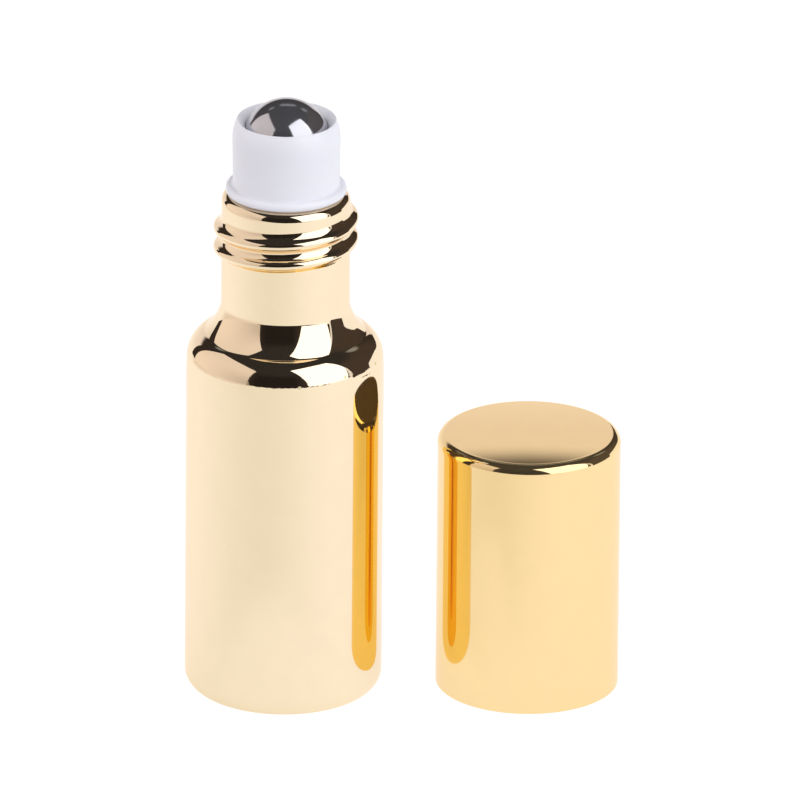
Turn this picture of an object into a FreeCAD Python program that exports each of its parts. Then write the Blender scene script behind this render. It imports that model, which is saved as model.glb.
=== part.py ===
"""Roll-on bottle: a gilded glass bottle, a snap-in roller with its steel ball, and a lined metal screw cap.

Millimetres. +Z is up, and the origin is the centre of the bottle's foot. The cap stands beside the bottle.
"""
import FreeCAD, Part
import math
import os
import Sketcher

from FreeCAD import Vector

doc = FreeCAD.newDocument("roll_on_bottle")
sheet = doc.addObject("Spreadsheet::Sheet", "Sizes")

DRIVING_SIZES = [
    # glass neck, which the other pieces' diameters follow
    ("neck_diameter", 13.0),
    ("neck_wall", 1.7),
    ("neck_height", 11.85),
    ("lip_radius", 0.95),
    ("lip_inner_chamfer", 0.25),
    # bead thread on the neck
    ("thread_pitch", 2.117),
    ("thread_turns", 2.0),
    ("thread_drop", 6.42),
    ("thread_depth", 0.8),
    ("thread_crest_radius", 0.45),
    ("thread_flank_angle", 35.0),
    ("thread_root_sink", 0.3),
    ("thread_fade_angle", 72.0),
    ("thread_end_cover", 0.05),
    # glass shoulder and body
    ("flare_reach", 1.65),
    ("flare_rise", 3.18),
    ("flare_radius", 5.2),
    ("roll_reach", 1.85),
    ("roll_radius", 3.0),
    ("body_top", 35.7),
    ("body_wall", 2.4),
    ("base_thickness", 3.0),
    ("heel_radius", 1.9),
    ("inner_heel_radius", 3.2),
    ("foot_ring_width", 2.2),
    ("push_up_depth", 0.25),
    ("inner_shoulder_drop", 2.1),
    ("inner_shoulder_radius", 4.0),
    ("inner_shoulder_angle", 50.0),
    # steel ball
    ("ball_bore_gap", 0.3),
    ("ball_rise", 4.47),
    # roller housing
    ("ball_clearance", 0.05),
    ("retention_lap", 0.3),
    ("cup_wall", 0.91),
    ("cup_foot_taper", 0.08),
    ("cup_lip_rise", 0.73),
    ("cup_rim_inset", 0.46),
    ("cup_rim_land", 0.1),
    ("cup_bow_radius", 4.5),
    ("cup_foot_chamfer", 0.22),
    ("flange_inset", 0.4),
    ("flange_thickness", 0.9),
    ("flange_edge_radius", 0.4),
    ("plug_length", 7.5),
    ("plug_waist_gap", 0.2),
    ("plug_wall", 1.2),
    ("plug_lead", 0.5),
    ("seal_ring_gap", 0.04),
    ("seal_ring_width", 0.9),
    ("seal_ring_sink", 0.1),
    ("seal_ring_first", 1.6),
    ("seal_ring_spacing", 1.9),
    ("seal_ring_count", 3),
    ("web_thickness", 0.95),
    ("feed_hole", 2.6),
    ("feed_slot_width", 0.7),
    ("feed_slot_length", 1.1),
    ("feed_slot_count", 3),
    # metal cap shell
    ("cap_inset", 0.72),
    ("cap_wall", 0.45),
    ("cap_crown", 0.33),
    ("cap_edge_radius", 0.95),
    ("cap_foot_chamfer", 0.15),
    ("cap_stand_gap", 5.43),
    ("cap_stand_shift", 1.37),
    ("cap_closed_gap", 0.4),
    # plastic cap liner
    ("liner_fit_gap", 0.03),
    ("liner_rib_height", 0.25),
    ("liner_rib_width", 0.8),
    ("liner_rib_count", 12),
    ("liner_recess", 0.5),
    ("liner_top_gap", 0.1),
    ("liner_top_thickness", 0.85),
    ("liner_headroom", 1.07),
    ("liner_edge_chamfer", 0.7),
    ("liner_skirt_wall", 0.55),
    ("liner_skirt_height", 2.2),
    ("liner_thread_gap", 0.15),
    ("liner_thread_turns", 1.5),
    ("liner_thread_depth", 0.75),
    ("liner_thread_crest_width", 0.4),
    ("liner_thread_flank_angle", 25.0),
    ("liner_thread_root_sink", 0.12),
    ("liner_cup_gap", 0.25),
    ("liner_flange_gap", 0.05),
    ("liner_seal_bore", 4.4),
    ("liner_seal_wall", 0.6),
    ("liner_seal_gap", 0.05),
    # cuts run past the solid by this much
    ("overrun", 1.0),
]

FULL_TURN = 360
THREAD_START_AZIMUTH = 90
SECTIONS_PER_TURN = 10

for row, (alias, number) in enumerate(DRIVING_SIZES, start=1):
    sheet.set(f"A{row}", alias)
    sheet.set(f"B{row}", str(number))
    sheet.setAlias(f"B{row}", alias)
doc.recompute()


class Size:
    """A number and the sheet formula that gives it: a sketch starts from one and is held by the other."""

    def __init__(self, value, formula):
        self.value = float(value)
        self.formula = formula

    def joined(self, sign, other, value):
        other_formula = other.formula if isinstance(other, Size) else str(other)
        return Size(value, f"({self.formula} {sign} {other_formula})")

    def __add__(self, other):
        return self.joined("+", other, self.value + number_of(other))

    def __sub__(self, other):
        return self.joined("-", other, self.value - number_of(other))

    def __mul__(self, other):
        return self.joined("*", other, self.value * number_of(other))

    def __truediv__(self, other):
        return self.joined("/", other, self.value / number_of(other))

    def __neg__(self):
        return Size(-self.value, f"(0 - {self.formula})")


def number_of(item):
    """The plain number of a Size or of a number."""
    return item.value if isinstance(item, Size) else float(item)


def size(alias):
    """The driving dimension with this alias."""
    return Size(sheet.get(alias), f"Sizes.{alias}")


def radius(alias):
    """Half of a driving diameter."""
    return size(alias) / 2


def cosine(angle):
    return Size(math.cos(math.radians(angle.value)), f"cos({angle.formula})")


def sine(angle):
    return Size(math.sin(math.radians(angle.value)), f"sin({angle.formula})")


def leg(hypotenuse, other_leg):
    """The third side of a right-angled triangle."""
    square = hypotenuse * hypotenuse - other_leg * other_leg
    return Size(math.sqrt(square.value), f"sqrt({square.formula})")


def dome_radius(half_width, rise):
    """The radius of a shallow dome from its half width and its rise."""
    return (half_width * half_width + rise * rise) / (rise * 2)


def line_to(across, up):
    """An outline's next corner, reached by a straight edge."""
    return (across, up, None, 0)


def arc_to(across, up, arc_radius, side):
    """An outline's next corner, reached by an arc whose centre is left (1) or right (-1) of the way."""
    return (across, up, arc_radius, side)


def arc_between(start, end, arc_radius, side):
    """The shorter arc of this radius from start to end."""
    chord = end - start
    rise = math.sqrt(max(arc_radius**2 - (chord.Length / 2) ** 2, 0))
    left = Vector(-chord.y, chord.x, 0).normalize()
    centre = (start + end) / 2 + left * rise * side
    first, last = (start, end) if side > 0 else (end, start)
    angles = [math.atan2(point.y - centre.y, point.x - centre.x) for point in (first, last)]
    return Part.ArcOfCircle(Part.Circle(centre, Vector(0, 0, 1), arc_radius), *angles)


def hold(sketch, constraint, formula):
    """Add a measured constraint and bind it to its formula."""
    sketch.setExpression(f"Constraints[{sketch.addConstraint(constraint)}]", formula)


def draw_outline(sketch, corners):
    """Draw a closed outline, with each corner's place and each arc's radius bound to its formula."""
    places = [Vector(number_of(across), number_of(up), 0) for across, up, _, _ in corners]
    edges = []
    for index, (_, _, arc_radius, side) in enumerate(corners):
        start, end = places[index - 1], places[index]
        if arc_radius is None:
            edge = sketch.addGeometry(Part.LineSegment(start, end), False)
        else:
            edge = sketch.addGeometry(arc_between(start, end, arc_radius.value, side), False)
            hold(sketch, Sketcher.Constraint("Radius", edge, arc_radius.value), arc_radius.formula)
        edges.append((edge, 2, 1) if side < 0 else (edge, 1, 2))
    for index, (edge, _, last) in enumerate(edges):
        next_edge, next_first, _ = edges[(index + 1) % len(edges)]
        sketch.addConstraint(Sketcher.Constraint("Coincident", edge, last, next_edge, next_first))
        across, up, _, _ = corners[index]
        for way, place, axis in (("DistanceX", across, -2), ("DistanceY", up, -1)):
            if isinstance(place, Size):
                hold(sketch, Sketcher.Constraint(way, -1, 1, edge, last, place.value), place.formula)
            else:
                sketch.addConstraint(Sketcher.Constraint("PointOnObject", edge, last, axis))


def new_body(name):
    body = doc.addObject("PartDesign::Body", name)
    body.Label = name
    return body


def origin_feature(body, role):
    """One of the body's own origin planes or axes."""
    return next(item for item in body.Origin.OriginFeatures if item.Role == role)


def new_sketch(body, name, corners, role):
    sketch = body.newObject("Sketcher::SketchObject", name)
    sketch.AttachmentSupport = (origin_feature(body, role), [""])
    sketch.MapMode = "FlatFace"
    draw_outline(sketch, corners)
    return sketch


def add_turned(body, kind, name, corners):
    """Turn an outline about the body's axis, as material (Revolution) or as a cut (Groove)."""
    sketch = new_sketch(body, f"{name}_outline", corners, "XZ_Plane")
    feature = body.newObject(f"PartDesign::{kind}", name)
    feature.Profile = sketch
    feature.ReferenceAxis = (sketch, ["V_Axis"])
    feature.Angle = FULL_TURN
    doc.recompute()
    return feature


def repeat_round(body, feature, count_alias):
    """Repeat a feature evenly round the body's axis."""
    pattern = body.newObject("PartDesign::PolarPattern", f"{feature.Name}_round")
    pattern.Originals = [feature]
    pattern.Axis = (origin_feature(body, "Z_Axis"), [""])
    pattern.Angle = FULL_TURN
    pattern.setExpression("Occurrences", f"Sizes.{count_alias}")
    body.Tip = pattern
    doc.recompute()


def bead_section(azimuth, centre_height, root_radius, bead, way):
    """One radial section of a bead: a crest between two straight flanks, on a base inside the wall."""
    base_rise = bead["crest_rise"] + (bead["crest_reach"] + bead["sink"]) * math.tan(bead["flank"])

    def point(reach, rise):
        across = root_radius + way * reach
        return Vector(across * math.cos(azimuth), across * math.sin(azimuth), centre_height + rise)

    base_low, base_high = point(-bead["sink"], -base_rise), point(-bead["sink"], base_rise)
    crest_low = point(bead["crest_reach"], -bead["crest_rise"])
    crest_high = point(bead["crest_reach"], bead["crest_rise"])
    if bead["depth"] > bead["crest_reach"]:
        crest = Part.Arc(crest_low, point(bead["depth"], 0), crest_high)
    else:
        crest = Part.LineSegment(crest_low, crest_high)
    return Part.Wire(
        [
            Part.LineSegment(base_low, crest_low).toShape(),
            crest.toShape(),
            Part.LineSegment(crest_high, base_high).toShape(),
            Part.LineSegment(base_high, base_low).toShape(),
        ]
    )


def round_bead():
    """The glass neck's bead: its crest arc meets both flanks smoothly."""
    depth, crest = size("thread_depth").value, size("thread_crest_radius").value
    flank = math.radians(size("thread_flank_angle").value)
    return {
        "depth": depth,
        "crest_reach": depth - crest + crest * math.sin(flank),
        "crest_rise": crest * math.cos(flank),
        "flank": flank,
        "sink": size("thread_root_sink").value,
    }


def flat_bead():
    """The liner's thread: a flat crest between its flanks."""
    depth = size("liner_thread_depth").value
    return {
        "depth": depth,
        "crest_reach": depth,
        "crest_rise": size("liner_thread_crest_width").value / 2,
        "flank": math.radians(size("liner_thread_flank_angle").value),
        "sink": size("liner_thread_root_sink").value,
    }


def add_bead_thread(name, bead, root_radius, start_height, turns, way):
    """A thread whose two ends fade into the wall, as one loft through radial sections.

    way is 1 where the bead stands out from a neck, and -1 where it stands into a bore.
    """
    pitch, fade_angle = size("thread_pitch").value, size("thread_fade_angle").value
    hidden_depth = bead["depth"] + size("thread_end_cover").value
    count = round(turns * SECTIONS_PER_TURN)
    sections = []
    for index in range(count + 1):
        turned = FULL_TURN * turns * index / count
        fade = min(min(turned, FULL_TURN * turns - turned) / fade_angle, 1)
        sunk = hidden_depth * (1 + math.cos(math.pi * fade)) / 2
        azimuth = math.radians(THREAD_START_AZIMUTH + turned)
        height = start_height + pitch * turned / FULL_TURN
        sections.append(bead_section(azimuth, height, root_radius - way * sunk, bead, way))
    thread = doc.addObject("Part::Feature", name)
    thread.Shape = Part.makeLoft(sections, True, False)
    return thread


def join(label, body, thread):
    """The sub-part made of a turned body and its thread."""
    joined = doc.addObject("Part::Fuse", label)
    joined.Label = label
    joined.Base = body
    joined.Tool = thread
    joined.Refine = False
    doc.recompute()
    return joined


# radii that several pieces share, from the neck outwards and inwards
neck_radius = radius("neck_diameter")
bore_radius = neck_radius - size("neck_wall")
valley_radius = neck_radius + size("flare_reach")
body_radius = valley_radius + size("roll_reach")
ball_radius = bore_radius - size("ball_bore_gap")
socket_radius = ball_radius + size("ball_clearance")
cup_radius = socket_radius + size("cup_wall")
cap_radius = body_radius - size("cap_inset")

# heights that several pieces share, from the top of the straight body upwards
roll_centre = body_radius - size("roll_radius")
valley_height = size("body_top") + leg(size("roll_radius"), valley_radius - roll_centre)
flare_top = valley_height + size("flare_rise")
lip_top = flare_top + size("neck_height")
thread_start = lip_top - size("thread_drop")
flange_top = lip_top + size("flange_thickness")
ball_height = flange_top + size("ball_rise")

# heights inside the cap, from its rim, with the cap screwed down
closed_rim_height = valley_height + size("cap_closed_gap")
liner_ceiling = ball_height + ball_radius + size("liner_headroom") - closed_rim_height
liner_top = liner_ceiling + size("liner_top_thickness")
crown_edge_height = liner_top + size("liner_top_gap") + size("cap_wall")


def stand_cap_part(part):
    """Stand a piece of the cap beside the bottle, open end down."""
    beside = body_radius + size("cap_stand_gap") + cap_radius
    part.setExpression("Placement.Base.x", beside.formula)
    part.setExpression("Placement.Base.y", size("cap_stand_shift").formula)


def make_glass_bottle():
    """Thick-walled tubular glass: a pushed-up base, a rolled shoulder and a flared, threaded neck."""
    heel, lip = size("heel_radius"), size("lip_radius")
    foot_radius = body_radius - heel - size("foot_ring_width")
    push_up = size("push_up_depth")
    body = new_body("glass_body")
    outer = add_turned(body, "Revolution", "glass_outside", [
        line_to(0, push_up),
        arc_to(foot_radius, 0, dome_radius(foot_radius, push_up), -1),
        line_to(body_radius - heel, 0),
        arc_to(body_radius, heel, heel, 1),
        line_to(body_radius, size("body_top")),
        arc_to(valley_radius, valley_height, size("roll_radius"), 1),
        arc_to(neck_radius, flare_top, size("flare_radius"), -1),
        line_to(neck_radius, lip_top - lip),
        arc_to(neck_radius - lip, lip_top, lip, 1),
        line_to(0, lip_top),
    ])
    inner_radius = body_radius - size("body_wall")
    inner_heel, floor = size("inner_heel_radius"), size("base_thickness")
    inner_top, bend = size("body_top") - size("inner_shoulder_drop"), size("inner_shoulder_radius")
    slope = size("inner_shoulder_angle")
    bend_radius = inner_radius - bend + bend * cosine(slope)
    bend_height = inner_top + bend * sine(slope)
    throat_height = bend_height + (bend_radius - bore_radius) * cosine(slope) / sine(slope)
    chamfer = size("lip_inner_chamfer")
    solid_volume = outer.Shape.Volume
    inner = add_turned(body, "Groove", "glass_inside", [
        line_to(0, floor),
        line_to(inner_radius - inner_heel, floor),
        arc_to(inner_radius, floor + inner_heel, inner_heel, 1),
        line_to(inner_radius, inner_top),
        arc_to(bend_radius, bend_height, bend, 1),
        line_to(bore_radius, throat_height),
        line_to(bore_radius, lip_top - chamfer),
        line_to(bore_radius + chamfer, lip_top),
        line_to(bore_radius + chamfer, lip_top + size("overrun")),
        line_to(0, lip_top + size("overrun")),
    ])
    assert inner.Shape.Volume < solid_volume, "the glass has to be hollow"
    print("brimful capacity in mm3:", round(solid_volume - inner.Shape.Volume))
    turns = size("thread_turns").value
    thread = add_bead_thread("neck_thread", round_bead(), neck_radius.value, thread_start.value, turns, 1)
    return join("glass_bottle", body, thread)


def make_roller_housing():
    """One soft plastic moulding: a sealing plug, a flange on the glass lip and the ball's snap-in cup."""
    waist = bore_radius - size("plug_waist_gap")
    plug_bore, plug_foot, lead = waist - size("plug_wall"), lip_top - size("plug_length"), size("plug_lead")
    flange, edge = neck_radius - size("flange_inset"), size("flange_edge_radius")
    cup_base, rim_radius = cup_radius - size("cup_foot_taper"), cup_radius - size("cup_rim_inset")
    bow, foot = size("cup_bow_radius"), size("cup_foot_chamfer")
    mouth, feed = ball_radius - size("retention_lap"), radius("feed_hole")
    mouth_height = ball_height + leg(socket_radius, mouth)
    cup_top = mouth_height + size("cup_lip_rise")
    web_height = ball_height - socket_radius - size("web_thickness")
    body = new_body("roller_housing")
    add_turned(body, "Revolution", "housing_wall", [
        line_to(plug_bore, plug_foot),
        line_to(waist - lead, plug_foot),
        line_to(waist, plug_foot + lead),
        line_to(waist, lip_top),
        line_to(flange - edge, lip_top),
        arc_to(flange, lip_top + edge, edge, 1),
        line_to(flange, flange_top - edge),
        arc_to(flange - edge, flange_top, edge, 1),
        line_to(cup_base + foot, flange_top),
        line_to(cup_base, flange_top + foot),
        line_to(cup_radius, cup_top - leg(bow, bow - size("cup_rim_inset"))),
        arc_to(rim_radius, cup_top, bow, 1),
        line_to(rim_radius - size("cup_rim_land"), cup_top),
        line_to(mouth, mouth_height),
        arc_to(feed, ball_height - leg(socket_radius, feed), socket_radius, -1),
        line_to(feed, web_height),
        line_to(plug_bore, web_height),
    ])
    ring_half, ring_base = size("seal_ring_width") / 2, waist - size("seal_ring_sink")
    ring_height = lip_top - size("seal_ring_first")
    seal = add_turned(body, "Revolution", "seal_ring", [
        line_to(ring_base, ring_height - ring_half),
        line_to(bore_radius - size("seal_ring_gap"), ring_height),
        line_to(ring_base, ring_height + ring_half),
    ])
    rings = body.newObject("PartDesign::LinearPattern", "seal_rings")
    rings.Originals = [seal]
    rings.Direction = (origin_feature(body, "Z_Axis"), [""])
    rings.Reversed = True
    rings.setExpression("Length", "Sizes.seal_ring_spacing * (Sizes.seal_ring_count - 1)")
    rings.setExpression("Occurrences", "Sizes.seal_ring_count")
    body.Tip = rings
    doc.recompute()
    half_slot, reach = size("feed_slot_width") / 2, feed + size("feed_slot_length")
    slot_sketch = new_sketch(body, "feed_slot_outline", [
        line_to(0, -half_slot),
        line_to(reach, -half_slot),
        line_to(reach, half_slot),
        line_to(0, half_slot),
    ], "XY_Plane")
    whole_volume = rings.Shape.Volume
    slot = body.newObject("PartDesign::Pocket", "feed_slot")
    slot.Profile = slot_sketch
    slot.Type = "ThroughAll"
    slot.Reversed = True
    doc.recompute()
    repeat_round(body, slot, "feed_slot_count")
    assert body.Shape.Volume < whole_volume, "the feed slots have to cut the web"
    return body


def make_roller_ball():
    """A polished steel ball."""
    ball = doc.addObject("Part::Sphere", "roller_ball")
    ball.Label = "roller_ball"
    ball.setExpression("Radius", ball_radius.formula)
    ball.setExpression("Placement.Base.z", ball_height.formula)
    return ball


def make_cap_shell():
    """Drawn sheet metal: a straight skirt, a tight top edge and a very slightly domed top."""
    wall, edge, foot = size("cap_wall"), size("cap_edge_radius"), size("cap_foot_chamfer")
    crown_half_width, cap_height = cap_radius - edge, crown_edge_height + size("cap_crown")
    crown = dome_radius(crown_half_width, size("cap_crown"))
    body = new_body("cap_shell")
    add_turned(body, "Revolution", "shell_wall", [
        line_to(cap_radius - wall, 0),
        line_to(cap_radius - foot, 0),
        line_to(cap_radius, foot),
        line_to(cap_radius, crown_edge_height - edge),
        arc_to(crown_half_width, crown_edge_height, edge, 1),
        arc_to(0, cap_height, crown, 1),
        line_to(0, cap_height - wall),
        arc_to(crown_half_width, crown_edge_height - wall, crown, -1),
        arc_to(cap_radius - wall, crown_edge_height - edge, edge - wall, -1),
    ])
    stand_cap_part(body)
    return body


def make_cap_liner():
    """A plastic moulding pressed into the shell: the thread, the stop on the flange and the ball's seal."""
    rib_radius = cap_radius - size("cap_wall") - size("liner_fit_gap")
    core = rib_radius - size("liner_rib_height")
    foot, chamfer = size("liner_recess"), size("liner_edge_chamfer")
    thread_bore = neck_radius + size("thread_depth") + size("liner_thread_gap")
    skirt, skirt_height = core - size("liner_skirt_wall"), size("liner_skirt_height")
    stop_height = flange_top - closed_rim_height + size("liner_flange_gap")
    cup_bore = cup_radius + size("liner_cup_gap")
    seal, seal_outer = radius("liner_seal_bore"), radius("liner_seal_bore") + size("liner_seal_wall")
    ball_contact = ball_height + leg(ball_radius, seal)
    seal_height = ball_contact - closed_rim_height + size("liner_seal_gap")
    body = new_body("liner_body")
    add_turned(body, "Revolution", "liner_wall", [
        line_to(skirt, foot),
        line_to(core, foot),
        line_to(core, liner_top - chamfer),
        line_to(core - chamfer, liner_top),
        line_to(0, liner_top),
        line_to(0, liner_ceiling),
        line_to(seal, liner_ceiling),
        line_to(seal, seal_height),
        line_to(seal_outer, seal_height),
        line_to(seal_outer, liner_ceiling),
        line_to(cup_bore, liner_ceiling),
        line_to(cup_bore, stop_height),
        line_to(thread_bore, stop_height),
        line_to(thread_bore, skirt_height + skirt - thread_bore),
        line_to(skirt, skirt_height),
    ])
    rib_root = core - size("liner_rib_height")
    rib_sketch = new_sketch(body, "liner_rib_outline", [
        line_to(rib_root, foot),
        line_to(rib_radius, foot),
        line_to(rib_radius, liner_top - chamfer),
        line_to(rib_root, liner_top - chamfer),
    ], "XZ_Plane")
    rib = body.newObject("PartDesign::Pad", "liner_rib")
    rib.Profile = rib_sketch
    rib.SideType = "Symmetric"
    rib.setExpression("Length", "Sizes.liner_rib_width")
    doc.recompute()
    repeat_round(body, rib, "liner_rib_count")
    # screwed down, the liner's thread runs half a pitch below the neck's
    start = (thread_start - closed_rim_height - size("thread_pitch") / 2).value
    turns = size("liner_thread_turns").value
    thread = add_bead_thread("liner_thread", flat_bead(), thread_bore.value, start, turns, -1)
    liner = join("cap_liner", body, thread)
    stand_cap_part(liner)
    return liner


SUB_PARTS = [
    make_glass_bottle(),
    make_roller_housing(),
    make_roller_ball(),
    make_cap_shell(),
    make_cap_liner(),
]
doc.recompute()

for item in doc.Objects:
    assert "Invalid" not in item.State and "Error" not in item.State, f"{item.Name}: {item.State}"
for part in SUB_PARTS:
    assert not part.Shape.isNull() and part.Shape.isValid(), f"{part.Label} has no valid shape"
    assert len(part.Shape.Solids) == 1, f"{part.Label} has to be one solid"

os.makedirs("parts", exist_ok=True)
for part in SUB_PARTS:
    part.Shape.exportStep(f"parts/{part.Label}.step")
    box = part.Shape.BoundBox
    print(
        f"{part.Label}: volume {part.Shape.Volume:.2f}, z {box.ZMin:.2f} to {box.ZMax:.2f}, "
        f"x {box.XMin:.2f} to {box.XMax:.2f}"
    )
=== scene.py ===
"""The looks of a gilded roll-on bottle that stands beside its cap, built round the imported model.

Lengths in this file are in metres, written as millimetres times MM. +Z is up and -Y is the front.
"""

import math

import bpy
import numpy as np
from mathutils import Matrix, Vector


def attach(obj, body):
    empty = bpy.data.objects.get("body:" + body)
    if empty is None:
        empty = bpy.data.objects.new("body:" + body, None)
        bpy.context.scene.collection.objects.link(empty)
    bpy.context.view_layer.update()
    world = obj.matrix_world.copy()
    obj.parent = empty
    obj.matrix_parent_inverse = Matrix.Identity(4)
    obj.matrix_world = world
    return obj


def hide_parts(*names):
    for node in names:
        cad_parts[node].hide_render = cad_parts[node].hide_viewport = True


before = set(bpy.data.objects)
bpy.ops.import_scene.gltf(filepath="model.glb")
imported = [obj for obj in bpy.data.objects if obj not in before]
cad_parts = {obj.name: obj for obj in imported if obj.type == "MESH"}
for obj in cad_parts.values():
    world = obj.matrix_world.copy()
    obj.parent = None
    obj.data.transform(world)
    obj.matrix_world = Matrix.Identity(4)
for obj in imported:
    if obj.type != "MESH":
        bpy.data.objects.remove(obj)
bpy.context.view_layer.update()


# Gilded glass bottle.
# Thick pressed glass with a rolled shoulder, a flared neck and a bead thread, coated outside
# with a bright pale gold film. The bore keeps the bare glass, which shows the film from behind.
MM = 0.001

BOTTLE_RADIUS = 10.0 * MM
BOTTLE_WALL = 2.4 * MM
BODY_TOP = 35.7 * MM
BASE_THICKNESS = 3.0 * MM
PUSH_UP_RADIUS = 5.9 * MM
PUSH_UP_DEPTH = 0.25 * MM
HEEL_RADIUS = 1.9 * MM
INNER_HEEL_RADIUS = 3.2 * MM
ROLL_RADIUS = 3.0 * MM
EASE_RADIUS = 24.0 * MM
EASE_ANGLE = math.radians(4.5)
VALLEY_RADIUS = 8.15 * MM
FLARE_RISE = 3.18 * MM
FLARE_RADIUS = 5.2 * MM
SHOULDER_DROP = 2.1 * MM
SHOULDER_BEND = 4.0 * MM
SHOULDER_SLOPE = math.radians(50)
NECK_RADIUS = 6.5 * MM
NECK_BORE = 4.8 * MM
LIP_TOP = 53.5 * MM
LIP_RADIUS = 0.95 * MM
LIP_CHAMFER = 0.25 * MM

BEAD_START = LIP_TOP - 6.42 * MM
BEAD_PITCH = 2.117 * MM
BEAD_TURNS = 2
BEAD_AZIMUTH = math.radians(90)
BEAD_DEPTH = 0.8 * MM
BEAD_CREST = 0.48 * MM
BEAD_ROOT_ABOVE = 0.95 * MM
BEAD_ROOT_BELOW = 0.47 * MM
BEAD_REACH = 1.1 * MM
BEAD_FLANK = math.radians(35)
BEAD_FADE = math.radians(72)
BEAD_COVER = 0.05 * MM

ROUND_STEPS = 240
SHARP_ANGLE = math.radians(38)
BORE_MARGIN = 0.01 * MM
LEFT = 1
RIGHT = -1


def straight(start, end, count):
    """Points on the line from start to end, in count steps of one length."""
    return start + (end - start) * np.linspace(0, 1, count + 1)[:, None]


def bow(start, end, radius, side, count):
    """Points on the shorter arc of this radius from start to end, in count steps of one length.

    The centre lies on the LEFT or RIGHT of the way, at the height of the isosceles triangle on the
    chord; the angle then runs evenly from one end to the other.
    """
    chord = end - start
    reach = np.linalg.norm(chord)
    left = np.array([-chord[1], chord[0]]) / reach
    centre = (start + end) / 2 + left * side * math.sqrt(max(radius**2 - reach**2 / 4, 0))
    first = start - centre
    last = end - centre
    opening = math.atan2(first[0] * last[1] - first[1] * last[0], first @ last)
    angle = math.atan2(first[1], first[0]) + np.linspace(0, opening, count + 1)
    return centre + radius * np.stack([np.cos(angle), np.sin(angle)], axis=1)


def trace(start, *legs):
    """A profile of (radius, height) rows from a start point. Each leg is (straight, end, count) or
    (bow, end, radius, side, count) and goes on from where the last one ended."""
    rows = [np.array([start])]
    for shape, end, *sizes in legs:
        rows.append(shape(rows[-1][-1], np.array(end), *sizes)[1:])
    return np.concatenate(rows)


def turned_mesh(name, radius, height, theta, looped=False):
    """A surface turned round the Z axis: point (i, j) is (r cos t, r sin t, z) with r and z given
    for each profile row i and each angle j. Rows on the axis become one pole vertex, and a looped
    profile joins its last row to its first. Walked with its material on the left, a profile gives
    faces that point outwards."""
    rows, around = radius.shape
    heights = np.broadcast_to(height, radius.shape)
    points = np.stack([radius * np.cos(theta), radius * np.sin(theta), heights], axis=2).reshape(-1, 3)
    index = np.arange(rows * around).reshape(rows, around)
    if looped:
        lower, upper = index, np.roll(index, -1, axis=0)
    else:
        index[0] = index[0, 0]
        index[-1] = index[-1, 0]
        lower, upper = index[:-1], index[1:]
    quads = np.stack([lower, np.roll(lower, -1, 1), np.roll(upper, -1, 1), upper], axis=2)
    quads = quads.reshape(-1, 4)
    pole_low = quads[:, 0] == quads[:, 1]
    pole_high = quads[:, 2] == quads[:, 3]
    whole = quads[~(pole_low | pole_high)]
    fans = np.concatenate([quads[pole_low][:, [0, 2, 3]], quads[pole_high][:, [0, 1, 2]]])
    used, packed = np.unique(np.concatenate([whole.ravel(), fans.ravel()]), return_inverse=True)
    fours, threes = np.split(packed.ravel(), [whole.size])
    faces = fours.reshape(-1, 4).tolist() + threes.reshape(-1, 3).tolist()
    mesh = bpy.data.meshes.new(name)
    mesh.from_pydata(points[used].tolist(), [], faces)
    mesh.shade_smooth()
    mesh.set_sharp_from_angle(angle=SHARP_ANGLE)
    return mesh


def add_piece(name, mesh, node, body, materials):
    """Put a finished mesh in the scene in the place of a CAD node, riding on that node's body."""
    piece = bpy.data.objects.new(name, mesh)
    bpy.context.scene.collection.objects.link(piece)
    for material in materials:
        mesh.materials.append(material)
    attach(piece, body)
    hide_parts(node)


def bead_height(rise):
    """Height of the bead at an axial distance from its middle: a crest arc, a straight flank and
    a root fillet that runs out on the neck, each tangent to the next. The fillet above is larger."""
    away = np.abs(rise)
    root = np.where(rise > 0, BEAD_ROOT_ABOVE, BEAD_ROOT_BELOW)
    crest_end = BEAD_CREST * math.cos(BEAD_FLANK)
    flank_top = BEAD_DEPTH - BEAD_CREST * (1 - math.sin(BEAD_FLANK))
    flank_foot = root * (1 - math.sin(BEAD_FLANK))
    fillet_start = crest_end + (flank_top - flank_foot) * math.tan(BEAD_FLANK)
    fillet_end = fillet_start + root * math.cos(BEAD_FLANK)
    crest = BEAD_DEPTH - BEAD_CREST + np.sqrt(np.maximum(BEAD_CREST**2 - away**2, 0))
    flank = flank_top - (away - crest_end) / math.tan(BEAD_FLANK)
    fillet = root - np.sqrt(np.maximum(root**2 - (fillet_end - away) ** 2, 0))
    parts = [away < crest_end, away < fillet_start, away < fillet_end]
    return np.select(parts, [crest, flank, fillet], 0)


def neck_bead(height, theta):
    """How far the bead stands out at each height and angle.

    Its middle climbs one pitch a turn from its start, and both ends sink into the neck along a
    half cosine. Where two turns meet, the higher one counts.
    """
    since = np.mod(theta - BEAD_AZIMUTH, 2 * math.pi)
    raised = np.zeros(np.broadcast(height, theta).shape)
    for turn in range(BEAD_TURNS):
        turned = since + 2 * math.pi * turn
        left = np.minimum(turned, 2 * math.pi * BEAD_TURNS - turned)
        fade = np.clip(left / BEAD_FADE, 0, 1)
        sunk = (BEAD_DEPTH + BEAD_COVER) * (1 + np.cos(math.pi * fade)) / 2
        middle = BEAD_START + BEAD_PITCH * turned / (2 * math.pi)
        raised = np.maximum(raised, bead_height(height - middle) - sunk)
    return raised


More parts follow.
